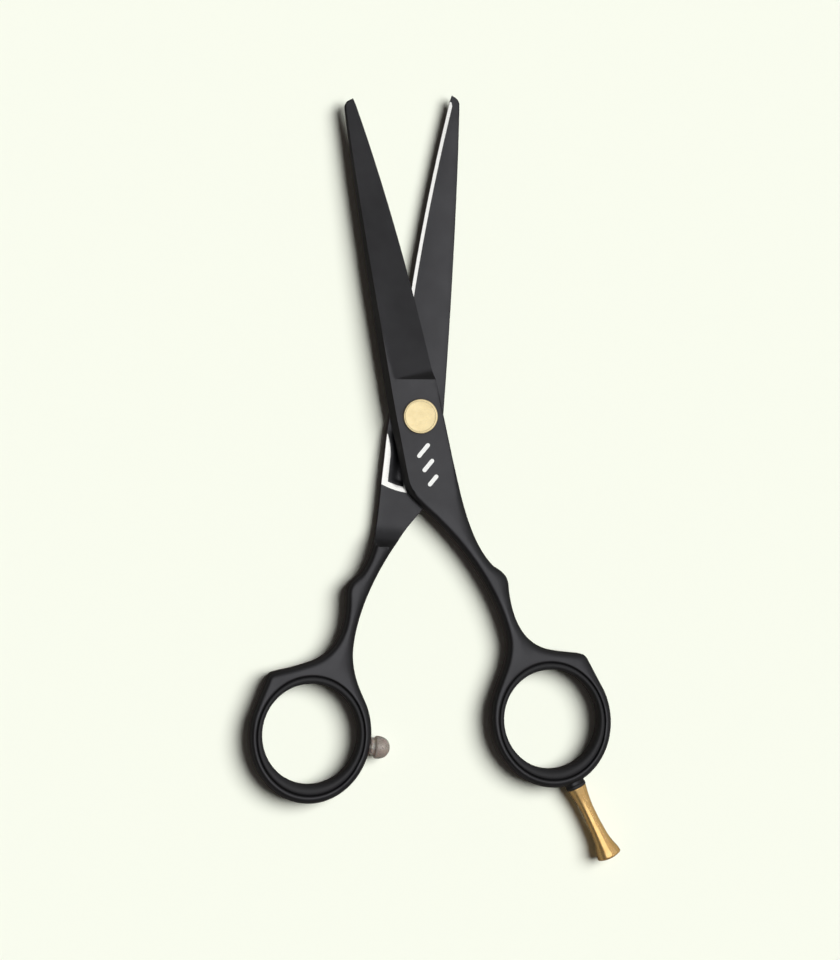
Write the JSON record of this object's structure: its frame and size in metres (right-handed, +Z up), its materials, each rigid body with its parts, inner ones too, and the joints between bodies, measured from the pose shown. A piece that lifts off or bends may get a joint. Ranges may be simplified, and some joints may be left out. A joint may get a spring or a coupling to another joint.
{
  "type": "hair cutting shears",
  "caption": "Hair cutting shears: two black coated halves on a tensioned pivot, with a screwed-in finger rest and a rubber bumper.",
  "frame": {"origin": "on the pivot axis, on the face of the tension screw, level with the faces that the shears lie on", "axes": "+Z up along the pivot axis, from the resting face to the pivot disc; +Y from the pivot to the tips, midway between the blades at rest; +X towards the finger half's ring"},
  "size_m": [0.0784, 0.1645, 0.0065],
  "materials": {
    "coated_steel": "satin black coating on steel, bare along the ride line and the half-moon",
    "gold_plate": "polished gold plating",
    "bare_steel": "ground steel",
    "nylon": "moulded nylon",
    "black_rubber": "smooth black rubber",
    "clear_rubber": "translucent grey silicone rubber"
  },
  "bodies": {
    "finger_side": {"finger_half": "coated_steel", "pivot_disc": "gold_plate", "head_washer": "bare_steel", "finger_ring_insert": "black_rubber", "rest_washer": "black_rubber"},
    "thumb_side": {"thumb_half": "coated_steel", "glide_washer": "nylon", "pivot_bush": "nylon", "spring_washer": "bare_steel", "thumb_ring_insert": "black_rubber", "bumper": "clear_rubber", "bumper_stud": "bare_steel"},
    "tension_screw": {"tension_screw": "gold_plate"},
    "finger_rest": {"finger_rest": "gold_plate"}
  },
  "joints": [
    {"name": "blade_pivot", "type": "hinge", "parent": "finger_side", "child": "thumb_side", "pos_m": [0, 0, 0], "axis": [0, 0, -1], "range_deg": [-18, 120]},
    {"name": "screw_turn", "type": "hinge", "parent": "finger_side", "child": "tension_screw", "pos_m": [0, 0, 0], "axis": [0, 0, 1], "range_deg": [-90, 360]},
    {"name": "rest_turn", "type": "hinge", "parent": "finger_side", "child": "finger_rest", "pos_m": [0.02967, -0.07959, 0.00275], "axis": [0.3907, -0.9205, 0], "range_deg": [0, 720]}
  ]
}
